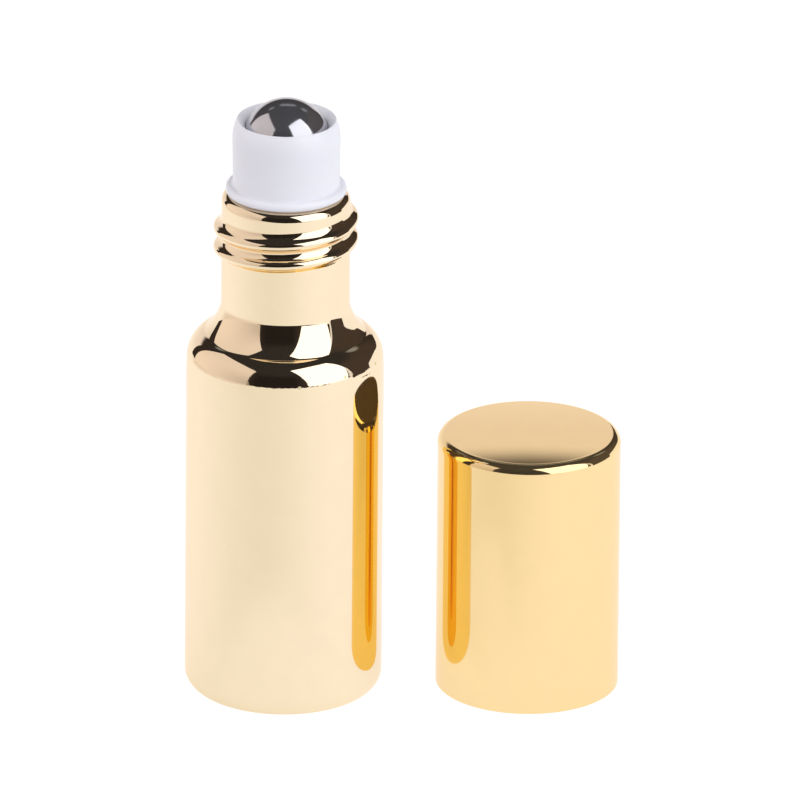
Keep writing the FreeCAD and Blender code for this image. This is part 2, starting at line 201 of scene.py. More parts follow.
def glass_profile():
    """The bottle's section, up the outside from the push-up and down the inside to the floor.

    The wall leans in along a long arc before the roll starts, as moulded glass does, and the roll's
    arc is tangent to it. From BEAD_REACH below the bead up, the rows lie close enough to carry it.
    """
    roll_centre = BOTTLE_RADIUS - ROLL_RADIUS
    valley_height = BODY_TOP + math.sqrt(ROLL_RADIUS**2 - (VALLEY_RADIUS - roll_centre) ** 2)
    flare_top = valley_height + FLARE_RISE
    eased_centre = roll_centre - (EASE_RADIUS - ROLL_RADIUS) * (1 - math.cos(EASE_ANGLE))
    eased_height = valley_height - math.sqrt(ROLL_RADIUS**2 - (VALLEY_RADIUS - eased_centre) ** 2)
    roll_start = (eased_centre + ROLL_RADIUS * math.cos(EASE_ANGLE),
                  eased_height + ROLL_RADIUS * math.sin(EASE_ANGLE))
    wall_top = roll_start[1] - EASE_RADIUS * math.sin(EASE_ANGLE)
    heel_start = BOTTLE_RADIUS - HEEL_RADIUS
    push_up_sphere = (PUSH_UP_RADIUS**2 + PUSH_UP_DEPTH**2) / (2 * PUSH_UP_DEPTH)
    outside = trace(
        (0, PUSH_UP_DEPTH),
        (bow, (PUSH_UP_RADIUS, 0), push_up_sphere, RIGHT, 10),
        (straight, (heel_start, 0), 4),
        (bow, (BOTTLE_RADIUS, HEEL_RADIUS), HEEL_RADIUS, LEFT, 20),
        (straight, (BOTTLE_RADIUS, wall_top), 54),
        (bow, roll_start, EASE_RADIUS, LEFT, 14),
        (bow, (VALLEY_RADIUS, valley_height), ROLL_RADIUS, LEFT, 30),
        (bow, (NECK_RADIUS, flare_top), FLARE_RADIUS, RIGHT, 24),
        (straight, (NECK_RADIUS, BEAD_START - BEAD_REACH), 11),
        (straight, (NECK_RADIUS, LIP_TOP - LIP_RADIUS), 78),
        (bow, (NECK_RADIUS - LIP_RADIUS, LIP_TOP), LIP_RADIUS, LEFT, 10),
        (straight, (NECK_BORE + LIP_CHAMFER, LIP_TOP), 2),
    )
    inner = BOTTLE_RADIUS - BOTTLE_WALL
    shoulder = BODY_TOP - SHOULDER_DROP
    bend_radius = inner - SHOULDER_BEND * (1 - math.cos(SHOULDER_SLOPE))
    bend_height = shoulder + SHOULDER_BEND * math.sin(SHOULDER_SLOPE)
    throat = bend_height + (bend_radius - NECK_BORE) / math.tan(SHOULDER_SLOPE)
    inside = trace(
        outside[-1],
        (straight, (NECK_BORE, LIP_TOP - LIP_CHAMFER), 2),
        (straight, (NECK_BORE, throat), 11),
        (straight, (bend_radius, bend_height), 3),
        (bow, (inner, shoulder), SHOULDER_BEND, RIGHT, 8),
        (straight, (inner, BASE_THICKNESS + INNER_HEEL_RADIUS), 10),
        (bow, (inner - INNER_HEEL_RADIUS, BASE_THICKNESS), INNER_HEEL_RADIUS, RIGHT, 10),
        (straight, (0, BASE_THICKNESS), 5),
    )
    return outside, inside[1:]


def feed(tree, socket, value):
    """Link a socket to what feeds it, or set it to a number or to a colour of three parts."""
    if isinstance(value, bpy.types.NodeSocket):
        tree.links.new(value, socket)
    elif isinstance(value, tuple):
        socket.default_value = (*value, 1)
    else:
        socket.default_value = value


def add_noise(tree, vector, scale, detail):
    """A noise texture on a vector; scale counts its features in a metre."""
    noise = tree.nodes.new("ShaderNodeTexNoise")
    for label, value in (("Vector", vector), ("Scale", scale), ("Detail", detail)):
        feed(tree, noise.inputs[label], value)
    return noise.outputs["Fac"]


def add_math(tree, operation, *values):
    """A math node on sockets or numbers."""
    node = tree.nodes.new("ShaderNodeMath")
    node.operation = operation
    for socket, value in zip(node.inputs, values):
        feed(tree, socket, value)
    return node.outputs[0]


def add_product(tree, *values):
    """The product of two or more sockets or numbers, multiplied one after another."""
    product = values[0]
    for value in values[1:]:
        product = add_math(tree, "MULTIPLY", product, value)
    return product


def add_ramp(tree, value, low, high, start, end, shape="SMOOTHSTEP"):
    """A ramp of a value from (low, start) to (high, end), level on both sides of it."""
    node = tree.nodes.new("ShaderNodeMapRange")
    node.interpolation_type = shape
    labels = ("Value", "From Min", "From Max", "To Min", "To Max")
    for label, number in zip(labels, (value, low, high, start, end)):
        feed(tree, node.inputs[label], number)
    return node.outputs["Result"]


def add_band(tree, value, rise, fall):
    """A mask that goes up while a value passes through the pair rise and down again through fall."""
    return add_product(tree, add_ramp(tree, value, *rise, 0, 1), add_ramp(tree, value, *fall, 1, 0))


def add_mix(tree, factor, first, second, kind="RGBA"):
    """A colour, or a number with the kind FLOAT, that goes from first to second with a factor."""
    node = tree.nodes.new("ShaderNodeMix")
    node.data_type = kind
    for label, value in (("Factor", factor), ("A", first), ("B", second)):
        feed(tree, node.inputs[label], value)
    return node.outputs["Result"]


def add_split(tree, vector):
    """The X, Y and Z parts of a vector."""
    node = tree.nodes.new("ShaderNodeSeparateXYZ")
    tree.links.new(vector, node.inputs["Vector"])
    return node.outputs


def add_bump(tree, shader, height, depth, under=None):
    """Relief in a shader's normal, over another relief if one is given; depth is the height in
    metres of a full step."""
    bump = tree.nodes.new("ShaderNodeBump")
    bump.inputs["Distance"].default_value = depth
    tree.links.new(height, bump.inputs["Height"])
    if under is not None:
        tree.links.new(under, bump.inputs["Normal"])
    tree.links.new(bump.outputs["Normal"], shader.inputs["Normal"])


def dimmed(colour, share):
    """A colour with each of its parts times a share, or times its own share where three are given."""
    return tuple(float(part) for part in np.array(colour) * share)


def new_material(name, **constants):
    """A material with one Principled shader whose constant sockets are set directly."""
    material = bpy.data.materials.new(name)
    material.use_nodes = True
    tree = material.node_tree
    shader = tree.nodes["Principled BSDF"]
    for label, value in constants.items():
        shader.inputs[label.replace("_", " ")].default_value = value
    place = tree.nodes.new("ShaderNodeTexCoord").outputs["Object"]
    return material, tree, shader, place


SPECK_RARITY = 0.8
PATCHES_IN_WAVE = 3


def coat_marks():
    """What a gold film shows close up: slow waves from the wall below it, specks of dust, and
    faint patches that are a little duller.

    A speck lies at the middle of a Voronoi cell, and only in the cells whose random tone is above
    SPECK_RARITY. Its edge is soft from half its size outwards.
    """
    group = bpy.data.node_groups.new("coat_marks", "ShaderNodeTree")
    group.interface.new_socket("Vector", in_out="INPUT", socket_type="NodeSocketVector")
    for label, value in (("Wave Scale", 150.0), ("Speck Scale", 900.0), ("Speck Size", 0.05)):
        size = group.interface.new_socket(label, in_out="INPUT", socket_type="NodeSocketFloat")
        size.default_value = value
    for label in ("Waves", "Specks", "Patches"):
        group.interface.new_socket(label, in_out="OUTPUT", socket_type="NodeSocketFloat")
    given = group.nodes.new("NodeGroupInput").outputs
    result = group.nodes.new("NodeGroupOutput").inputs
    cells = group.nodes.new("ShaderNodeTexVoronoi")
    group.links.new(given["Vector"], cells.inputs["Vector"])
    group.links.new(given["Speck Scale"], cells.inputs["Scale"])
    half = add_product(group, given["Speck Size"], 0.5)
    inside = add_ramp(group, cells.outputs["Distance"], half, given["Speck Size"], 1, 0, "LINEAR")
    tone = group.nodes.new("ShaderNodeSeparateColor")
    group.links.new(cells.outputs["Color"], tone.inputs["Color"])
    rare = add_math(group, "GREATER_THAN", tone.outputs["Red"], SPECK_RARITY)
    patch_scale = add_product(group, given["Wave Scale"], PATCHES_IN_WAVE)
    waves = add_noise(group, given["Vector"], given["Wave Scale"], detail=1.5)
    patches = add_noise(group, given["Vector"], patch_scale, detail=4)
    group.links.new(waves, result["Waves"])
    group.links.new(add_product(group, inside, rare), result["Specks"])
    group.links.new(patches, result["Patches"])
    return group


COAT_MARKS = coat_marks()


def place_marks(tree, place, **sizes):
    """The coat marks on one film, with sizes of their own."""
    marks = tree.nodes.new("ShaderNodeGroup")
    marks.node_tree = COAT_MARKS
    tree.links.new(place, marks.inputs["Vector"])
    for label, value in sizes.items():
        marks.inputs[label.replace("_", " ")].default_value = value
    return marks.outputs


EDGE_TINT = (1.0, 0.93, 0.86, 1)
WAVE_SCALE = 160
WAVE_DEPTH = 0.004 * MM
SPECK_SCALE = 520
SPECK_SIZE = 0.045
SPECK_ROUGHNESS = 0.35
PATCH_RANGE = (0.35, 0.7)
PATCH_SHARE = 0.25
PATCH_SHADE = 0.95
DULL_RANGE = (0.4, 0.75)
FILM_ROUGHNESS = 0.03
DULL_ROUGHNESS = FILM_ROUGHNESS * 1.8
# painted reflection tint: shares of the film colour for rays that have already bounced
BOUNCE_PAINTED_GOLD = ((0.5, (0.99, 0.89, 0.39)), (1.5, (0.99, 0.89, 0.12)))
BOUNCE_PAINTED_BELOW = 43.5 * MM
BOUNCE_PAINTED_FADE = 1 * MM


def gold_film(name, colour, speck_colour, metallic):
    """A mirror-bright gold film with its waves, specks and dull patches.

    Below BOUNCE_PAINTED_BELOW, where the bottle's wall and the cap's mirror each other, each further
    reflection is shown in a deeper gold, a painted reflection tint rather than the film's own
    colour: past each ray depth of BOUNCE_PAINTED_GOLD, the colour's parts are multiplied by the shares
    given there.
    """
    material, tree, shader, place = new_material(name, Metallic=metallic, Specular_Tint=EDGE_TINT)
    marks = place_marks(
        tree, place, Wave_Scale=WAVE_SCALE, Speck_Scale=SPECK_SCALE, Speck_Size=SPECK_SIZE)
    patches = add_ramp(tree, marks["Patches"], *PATCH_RANGE, 0, PATCH_SHARE)
    film = add_mix(tree, patches, colour, dimmed(colour, PATCH_SHADE))
    film = add_mix(tree, marks["Specks"], film, speck_colour)
    height = add_split(tree, place)["Z"]
    wall = add_ramp(tree, height, BOUNCE_PAINTED_BELOW, BOUNCE_PAINTED_BELOW + BOUNCE_PAINTED_FADE, 1, 0)
    # painted reflection tint: below BOUNCE_PAINTED_BELOW, rays past each depth see a deeper gold
    bounces = tree.nodes.new("ShaderNodeLightPath").outputs["Ray Depth"]
    for depth, share in BOUNCE_PAINTED_GOLD:
        again = add_product(tree, add_math(tree, "GREATER_THAN", bounces, depth), wall)
        film = add_mix(tree, again, film, dimmed(colour, share))
    dull = add_ramp(tree, marks["Patches"], *DULL_RANGE, FILM_ROUGHNESS, DULL_ROUGHNESS)
    dusty = add_product(tree, marks["Specks"], SPECK_ROUGHNESS)
    tree.links.new(film, shader.inputs["Base Color"])
    tree.links.new(add_math(tree, "MAXIMUM", dull, dusty), shader.inputs["Roughness"])
    add_bump(tree, shader, marks["Waves"], WAVE_DEPTH)
    return material, tree, shader, place


BOTTLE_GOLD = (0.945, 0.785, 0.563)
BOTTLE_METAL = 0.985
SPECK_GOLD = (0.99, 0.86, 0.55)
GLASS_GOLD = (0.42, 0.33, 0.16)
GLASS_SHADE = 0.8
GLASS_CLOUDS = 240
CREASE_RISE = (BODY_TOP + 0.1 * MM, BODY_TOP + 0.4 * MM)
CREASE_FALL = (BODY_TOP + 0.8 * MM, BODY_TOP + 1.5 * MM)
CREASE_BREAKS = 330
BREAK_RANGE = (0.35, 0.5)
RIPPLE_SCALE = 1500
RIPPLE_DEPTH = 0.016 * MM
CREASE_SPECK_SCALE = 1300
CREASE_SPECK_SIZE = 0.3
CREASE_SPECK_ROUGHNESS = 0.6

gilded, tree, shader, place = gold_film("gilded_glass", BOTTLE_GOLD, SPECK_GOLD, BOTTLE_METAL)

# small ripples and specks, here and there along the crease where the wall turns into the roll
along = add_band(tree, add_split(tree, place)["Z"], CREASE_RISE, CREASE_FALL)
broken = add_ramp(tree, add_noise(tree, place, CREASE_BREAKS, detail=2), *BREAK_RANGE, 0, 1)
crease = add_product(tree, along, broken)
ripple = add_product(tree, add_noise(tree, place, RIPPLE_SCALE, detail=3), crease)
marks = place_marks(tree, place, Speck_Scale=CREASE_SPECK_SCALE, Speck_Size=CREASE_SPECK_SIZE)
specks = add_product(tree, marks["Specks"], crease)
dusty = add_product(tree, specks, CREASE_SPECK_ROUGHNESS)
film = shader.inputs["Base Color"].links[0].from_socket
dull = shader.inputs["Roughness"].links[0].from_socket
waves = shader.inputs["Normal"].links[0].from_socket
tree.links.new(add_mix(tree, specks, film, SPECK_GOLD), shader.inputs["Base Color"])
tree.links.new(add_math(tree, "MAXIMUM", dull, dusty), shader.inputs["Roughness"])
add_bump(tree, shader, ripple, RIPPLE_DEPTH, waves)

# the bore: glass with the gold film behind it
bore_glass, tree, shader, place = new_material(
    "glass_bore", Metallic=0.85, Roughness=0.22, Coat_Weight=1.0, Coat_Roughness=0.04)
clouds = add_noise(tree, place, GLASS_CLOUDS, detail=3)
film_behind = add_mix(tree, clouds, GLASS_GOLD, dimmed(GLASS_GOLD, GLASS_SHADE))
tree.links.new(film_behind, shader.inputs["Base Color"])

theta = np.linspace(0, 2 * math.pi, ROUND_STEPS, endpoint=False)
outside, inside = glass_profile()
section = np.concatenate([outside, inside])
height = section[:, 1:]
on_outside = np.arange(len(section))[:, None] < len(outside)
radius = section[:, :1] + np.where(on_outside, neck_bead(height, theta), 0)
mesh = turned_mesh("gilded_bottle", radius, height, theta)
add_piece("gilded_bottle", mesh, "glass_bottle", "bottle", [gilded, bore_glass])

# the film ends on the lip, so the faces inside it are bare glass
centres = np.empty(len(mesh.polygons) * 3)
mesh.polygons.foreach_get("center", centres)
x, y, z = centres.reshape(-1, 3).T
reach = np.hypot(x, y)
in_neck = reach < NECK_BORE + LIP_CHAMFER
in_body = (reach < BOTTLE_RADIUS - BOTTLE_WALL + BORE_MARGIN) & (z < BODY_TOP + ROLL_RADIUS)
in_bore = (in_neck | in_body) & (z > BASE_THICKNESS - BORE_MARGIN)
mesh.polygons.foreach_set("material_index", in_bore.astype(np.int32))


# Roller housing.
# One white soft plastic moulding: a plug with three sealing rings in the glass neck, a flange on
# the lip, and a cup whose mouth is a little narrower than the ball that it holds.
BALL_RADIUS = 4.5 * MM
BALL_HEIGHT = 58.87 * MM
SOCKET_RADIUS = BALL_RADIUS + 0.05 * MM
SOCKET_STEPS = 24
MOUTH_RADIUS = BALL_RADIUS - 0.3 * MM
CUP_RADIUS = SOCKET_RADIUS + 0.91 * MM
CUP_FOOT_RADIUS = CUP_RADIUS - 0.08 * MM
CUP_RIM_RADIUS = CUP_RADIUS - 0.46 * MM
CUP_BOW = 4.5 * MM
CUP_LAND = 0.1 * MM
CUP_LIP_RISE = 0.73 * MM
CUP_FOOT = 0.26 * MM
FLANGE_RADIUS = NECK_RADIUS - 0.4 * MM
FLANGE_THICKNESS = 0.9 * MM
FLANGE_EDGE = 0.4 * MM
PLUG_RADIUS = NECK_BORE - 0.2 * MM
PLUG_BORE = PLUG_RADIUS - 1.2 * MM
PLUG_LENGTH = 7.5 * MM
PLUG_LEAD = 0.5 * MM
WEB_THICKNESS = 0.95 * MM
WEB_STEPS = 4
FEED_RADIUS = 1.3 * MM
SLOT_REACH = FEED_RADIUS + 1.1 * MM
SLOT_HALF = 0.35 * MM
SLOT_COUNT = 3
RING_FIRST = 1.6 * MM
RING_SPACING = 1.9 * MM
RING_COUNT = 3
RING_HALF = 0.45 * MM
RING_RISE = 0.16 * MM

PLASTIC_WHITE = (0.88, 0.885, 0.93)
SCATTER_SHARE = 0.45
SCATTER_DEPTH = 1.0 * MM
SCATTER_COLOUR = (1.0, 0.9, 0.8)
PLASTIC_IOR = 1.5
CLOUD_SCALE = 260
CLOUD_SHADE = 0.975
CLOUD_RANGE = (0.3, 0.7)
CLOUD_ROUGHER = 1.25
PEEL_SCALE = 1400


def housing_profile():
    """The housing's section from the plug's foot up the outside and over the rim to the mouth.

    The plug's sealing rings are shallow cosine bumps on its wall.
    """
    flange_top = LIP_TOP + FLANGE_THICKNESS
    flange_flat = FLANGE_RADIUS - FLANGE_EDGE
    plug_foot = LIP_TOP - PLUG_LENGTH
    mouth_height = BALL_HEIGHT + math.sqrt(SOCKET_RADIUS**2 - MOUTH_RADIUS**2)
    cup_top = mouth_height + CUP_LIP_RISE
    bow_start = cup_top - math.sqrt(CUP_BOW**2 - (CUP_BOW - CUP_RADIUS + CUP_RIM_RADIUS) ** 2)
    profile = trace(
        (PLUG_BORE, plug_foot),
        (straight, (PLUG_RADIUS - PLUG_LEAD, plug_foot), 3),
        (straight, (PLUG_RADIUS, plug_foot + PLUG_LEAD), 4),
        (straight, (PLUG_RADIUS, LIP_TOP), 78),
        (straight, (flange_flat, LIP_TOP), 6),
        (bow, (FLANGE_RADIUS, LIP_TOP + FLANGE_EDGE), FLANGE_EDGE, LEFT, 10),
        (straight, (FLANGE_RADIUS, flange_top - FLANGE_EDGE), 2),
        (bow, (flange_flat, flange_top), FLANGE_EDGE, LEFT, 10),
        (straight, (CUP_FOOT_RADIUS + CUP_FOOT, flange_top), 1),
        (bow, (CUP_FOOT_RADIUS, flange_top + CUP_FOOT), CUP_FOOT, RIGHT, 8),
        (straight, (CUP_RADIUS, bow_start), 16),
        (bow, (CUP_RIM_RADIUS, cup_top), CUP_BOW, LEFT, 16),
        (straight, (CUP_RIM_RADIUS - CUP_LAND, cup_top - CUP_LAND / 2), 3),
        (straight, (MOUTH_RADIUS, mouth_height), 10),
    )
    for ring in range(RING_COUNT):
        middle = LIP_TOP - RING_FIRST - ring * RING_SPACING
        away = np.minimum(np.abs(profile[:, 1] - middle) / RING_HALF, 1)
        profile[:, 0] += RING_RISE * (1 + np.cos(math.pi * away)) / 2
    return profile


def feed_opening(theta):
    """Radius of the feed hole at each angle: a round hole with slots that run out from it.

    A slot's edge is where its half width is reached, or its end, whichever comes first.
    """
    sector = 2 * math.pi / SLOT_COUNT
    off = np.abs(np.mod(theta + sector / 2, sector) - sector / 2)
    side = SLOT_HALF / np.maximum(np.sin(off), 1e-6)
    return np.maximum(FEED_RADIUS, np.minimum(side, SLOT_REACH / np.cos(off)))


def moulded_plastic(name, colour, roughness, peel_depth):
    """Soft moulded plastic: light goes a little way in, and the skin has a faint orange peel."""
    material, tree, shader, place = new_material(
        name, Subsurface_Weight=SCATTER_SHARE, Subsurface_Scale=SCATTER_DEPTH,
        Subsurface_Radius=SCATTER_COLOUR, IOR=PLASTIC_IOR)
    clouds = add_noise(tree, place, CLOUD_SCALE, detail=3)
    skin = add_mix(tree, clouds, colour, dimmed(colour, CLOUD_SHADE))
    rough = add_ramp(tree, clouds, *CLOUD_RANGE, roughness, roughness * CLOUD_ROUGHER)
    tree.links.new(skin, shader.inputs["Base Color"])
    tree.links.new(rough, shader.inputs["Roughness"])
    add_bump(tree, shader, add_noise(tree, place, PEEL_SCALE, detail=2), peel_depth)
    return material


white_plastic = moulded_plastic("white_plastic", PLASTIC_WHITE, roughness=0.3, peel_depth=0.002 * MM)

# the socket is a part of a sphere from the mouth down to the feed hole, and below the hole a flat
# web runs out to the plug's bore
profile = housing_profile()
opening = feed_opening(theta)
mouth_turn = math.pi - math.asin(MOUTH_RADIUS / SOCKET_RADIUS)
hole_turn = np.arcsin(opening / SOCKET_RADIUS)
socket_turn = mouth_turn + (hole_turn - mouth_turn) * np.linspace(0, 1, SOCKET_STEPS + 1)[1:, None]
web_radius = opening + (PLUG_BORE - opening) * np.linspace(0, 1, WEB_STEPS + 1)[:, None]
web_height = np.full_like(web_radius, BALL_HEIGHT - SOCKET_RADIUS - WEB_THICKNESS)
radius = np.concatenate([
    np.repeat(profile[:, :1], ROUND_STEPS, axis=1), SOCKET_RADIUS * np.sin(socket_turn), web_radius])
height = np.concatenate([
    np.repeat(profile[:, 1:], ROUND_STEPS, axis=1), BALL_HEIGHT - SOCKET_RADIUS * np.cos(socket_turn),
    web_height])
mesh = turned_mesh("roller_fitment", radius, height, theta, looped=True)
add_piece("roller_fitment", mesh, "roller_housing", "fitment", [white_plastic])


# Steel ball.
# A ground and polished stainless ball, with the hairline scratches and slight haze that it gets
# from turning in its socket. It is held by the cup alone.
BALL_RINGS = 97
BALL_AROUND = 160
BALL_STEEL = (0.60, 0.60, 0.64)
BALL_METAL = 0.9
HAIRLINE_SCALE = 2600
HAIRLINE_DEPTH = 0.00008 * MM
SMEAR_SCALE = 420
SMEAR_RANGE = (0.4, 0.7)
SMEAR_SHADE = 0.93
HAZE_RANGE = (0.3, 0.75)
STEEL_ROUGHNESS = (0.07, 0.13)

polar = np.linspace(0, math.pi, BALL_RINGS)[:, None]
around = np.linspace(0, 2 * math.pi, BALL_AROUND, endpoint=False)
radius = np.repeat(BALL_RADIUS * np.sin(polar), BALL_AROUND, axis=1)
mesh = turned_mesh("steel_ball", radius, BALL_HEIGHT - BALL_RADIUS * np.cos(polar), around)
polished, tree, shader, place = new_material("polished_steel", Metallic=BALL_METAL)
centre = tree.nodes.new("ShaderNodeMapping")
centre.inputs["Location"].default_value = (0, 0, -BALL_HEIGHT)
tree.links.new(place, centre.inputs["Vector"])
on_ball = centre.outputs["Vector"]
smears = add_noise(tree, on_ball, SMEAR_SCALE, detail=3)
smeared = add_ramp(tree, smears, *SMEAR_RANGE, 0, 1)
steel = add_mix(tree, smeared, BALL_STEEL, dimmed(BALL_STEEL, SMEAR_SHADE))
haze = add_ramp(tree, smears, *HAZE_RANGE, *STEEL_ROUGHNESS)
tree.links.new(steel, shader.inputs["Base Color"])
tree.links.new(haze, shader.inputs["Roughness"])
add_bump(tree, shader, add_noise(tree, on_ball, HAIRLINE_SCALE, detail=6), HAIRLINE_DEPTH)
add_piece("steel_ball", mesh, "roller_ball", "ball", [polished])


# Metal cap shell.
# Drawn from thin aluminium sheet, with a tight rolled top edge and a top that is hardly domed,
# then finished in a deeper yellow gold than the bottle. It stands beside the bottle, open end down.
CAP_X = 24.71 * MM
CAP_Y = 1.37 * MM
CAP_RADIUS = BOTTLE_RADIUS - 0.72 * MM
CAP_HEIGHT = 27.3 * MM
CAP_WALL = 0.45 * MM
CAP_CROWN = 0.33 * MM
CAP_EDGE = 0.95 * MM
CAP_FOOT = 0.15 * MM
CAP_GOLD = (0.965, 0.725, 0.38)
CAP_SPECK = (0.98, 0.8, 0.45)
CAP_METAL = 0.94

crown_edge = CAP_HEIGHT - CAP_CROWN
flat_radius = CAP_RADIUS - CAP_EDGE
crown_sphere = (flat_radius**2 + CAP_CROWN**2) / (2 * CAP_CROWN)
inner_wall = CAP_RADIUS - CAP_WALL
section = trace(
    (0, CAP_HEIGHT - CAP_WALL),
    (bow, (flat_radius, crown_edge - CAP_WALL), crown_sphere, RIGHT, 12),
    (bow, (inner_wall, crown_edge - CAP_EDGE), CAP_EDGE - CAP_WALL, RIGHT, 8),
    (straight, (inner_wall, 0), 14),
    (straight, (CAP_RADIUS - CAP_FOOT, 0), 2),
    (bow, (CAP_RADIUS, CAP_FOOT), CAP_FOOT, LEFT, 6),
    (straight, (CAP_RADIUS, crown_edge - CAP_EDGE), 52),
    (bow, (flat_radius, crown_edge), CAP_EDGE, LEFT, 24),
    (bow, (0, CAP_HEIGHT), crown_sphere, LEFT, 40),
)
radius = np.repeat(section[:, :1], ROUND_STEPS, axis=1)
mesh = turned_mesh("gold_cap", radius, section[:, 1:], theta)
mesh.transform(Matrix.Translation((CAP_X, CAP_Y, 0)))
cap_gold = gold_film("gold_metal", CAP_GOLD, CAP_SPECK, CAP_METAL)[0]
add_piece("gold_cap", mesh, "cap_shell", "cap", [cap_gold])


# Cap liner.
# A matt plastic moulding pressed into the shell. Its ribs grip the metal, its thread takes the
# glass bead, and the ring under its top presses on the ball when the cap is screwed down.
LINER_GREY = (0.74, 0.73, 0.72)

liner_plastic = moulded_plastic("liner_plastic", LINER_GREY, roughness=0.45, peel_depth=0.003 * MM)
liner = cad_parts["cap_liner"]
liner.data.materials.clear()
liner.data.materials.append(liner_plastic)


# Floor and studio.
# A white table, one white sheet close behind the bottle and another farther off at its back right,
# a tall panel on the left, a brighter one that leans in on the right with a narrow strip beside
# it, and a dim room. The camera sees the table alone, and the metal shows the rest.
WHITE = (1.0, 1.0, 1.0)
PLASTIC_FILL = (0.525, 0.525, 0.565)

TABLE_PLAN = ((-375, -320), (900, -320), (900, -130), (282, -25), (275, 110), (275, 900), (-476, 900))
TABLE_DROP = 0.02 * MM
TABLE_WHITE = (0.93, 0.93, 0.93)
# painted shade colours of the table, shown only in the metal's reflections
TABLE_SHADED = (0.77, 0.77, 0.72)
TABLE_FAR_LEFT_SHADE = (0.72, 0.64, 0.58)
TABLE_ON_PLASTIC = (0.45, 0.45, 0.48)
TABLE_LIT = (0.15, 0.15, 0.15)
SHADED_SIDE = ((-125, -25), (-25, 60))
OPEN_SPOT = (-4 * MM, -24 * MM, 0)
OPEN_REACH = (8 * MM, 28 * MM)
OPEN_SHADE = 0.4
PANEL_SIDE = ((-140, -120), (-50, -30))
PANEL_SIDE_REACH = (110 * MM, 240 * MM)


def add_azimuth(tree, parts):
    """The azimuth of a vector's parts in radians: 0 is the front and positive is on the right."""
    return add_math(tree, "ARCTAN2", parts["X"], add_product(tree, parts["Y"], -1))


def add_distance(tree, place, spot):
    """How far a place is from a fixed spot."""
    node = tree.nodes.new("ShaderNodeVectorMath")
    node.operation = "DISTANCE"
    tree.links.new(place, node.inputs[0])
    node.inputs[1].default_value = spot
    return node.outputs["Value"]


def stage_mesh(name, points, faces):
    """Put a mesh on the stage with a material that has no shader yet. Gives the object, the
    material's node tree and the socket that its surface goes to."""
    mesh = bpy.data.meshes.new(name)
    mesh.from_pydata(points, [], faces)
    piece = bpy.data.objects.new(name, mesh)
    bpy.context.scene.collection.objects.link(piece)
    material = bpy.data.materials.new(name)
    material.use_nodes = True
    tree = material.node_tree
    tree.nodes.remove(tree.nodes["Principled BSDF"])
    mesh.materials.append(material)
    return piece, tree, tree.nodes["Material Output"].inputs["Surface"]


def add_floor():
    """The table top: white where it is seen, and in the metal a little dimmer round the front left
    and warmer farther out towards the left panel.

    It is dimmer by a share of OPEN_SHADE at OPEN_SPOT, and by all of the shade farther off. It takes
    a little light from the panels, so that the bottle and the cap shade it.
    """
    corners = [(x * MM, y * MM, -TABLE_DROP) for x, y in TABLE_PLAN]
    _, tree, surface = stage_mesh("table_top", corners, [tuple(range(len(corners)))])
    place = tree.nodes.new("ShaderNodeTexCoord").outputs["Object"]
    turn = add_azimuth(tree, add_split(tree, place))
    # painted shade on the table, seen only in the metal: dimmer round the front left, less so near
    # OPEN_SPOT
    shade = add_band(tree, turn, *np.radians(SHADED_SIDE).tolist())
    open_light = add_ramp(tree, add_distance(tree, place, OPEN_SPOT), *OPEN_REACH, OPEN_SHADE, 1)
    mirrored = add_mix(tree, add_product(tree, shade, open_light), TABLE_WHITE, TABLE_SHADED)
    # painted shade, dimmer and warmer, on the table farther out towards the left panel, seen only in
    # the metal
    panel_side = add_band(tree, turn, *np.radians(PANEL_SIDE).tolist())
    farther = add_ramp(tree, add_distance(tree, place, (0, 0, 0)), *PANEL_SIDE_REACH, 0, 1)
    mirrored = add_mix(tree, add_product(tree, panel_side, farther), mirrored, TABLE_FAR_LEFT_SHADE)
    rays = tree.nodes.new("ShaderNodeLightPath").outputs
    direct = add_mix(tree, rays["Is Camera Ray"], TABLE_ON_PLASTIC, WHITE)
    in_metal = add_math(tree, "MAXIMUM", rays["Is Glossy Ray"], rays["Is Transmission Ray"])
    glow = tree.nodes.new("ShaderNodeEmission")
    tree.links.new(add_mix(tree, in_metal, direct, mirrored), glow.inputs["Color"])
    lit = tree.nodes.new("ShaderNodeBsdfDiffuse")
    feed(tree, lit.inputs["Color"], TABLE_LIT)
    both = tree.nodes.new("ShaderNodeAddShader")
    tree.links.new(glow.outputs[0], both.inputs[0])
    tree.links.new(lit.outputs[0], both.inputs[1])
    tree.links.new(both.outputs[0], surface)


SHEET_WHITE = (1.04, 1.04, 1.04)
# painted shade: the back sheet's glow greys towards its top
SHEET_TOP_SHADE = (0.88, 0.836, 0.845)
SHEET_BLEND = (0.2, 0.75)
BACK_SHEET = ((-92, 94, 91.6), (46, 94, 91.6))
BACK_FADE = 0.185
SIDE_SHEET = (
    (20, 215, 62), (100, 206, 62), (120, 196, 52), (136, 185, 48), (150, 173, 54),
    (165, 160, 64), (182, 137, 68), (202, 105, 65), (212, 88, 56))
SIDE_FADE = 0.04


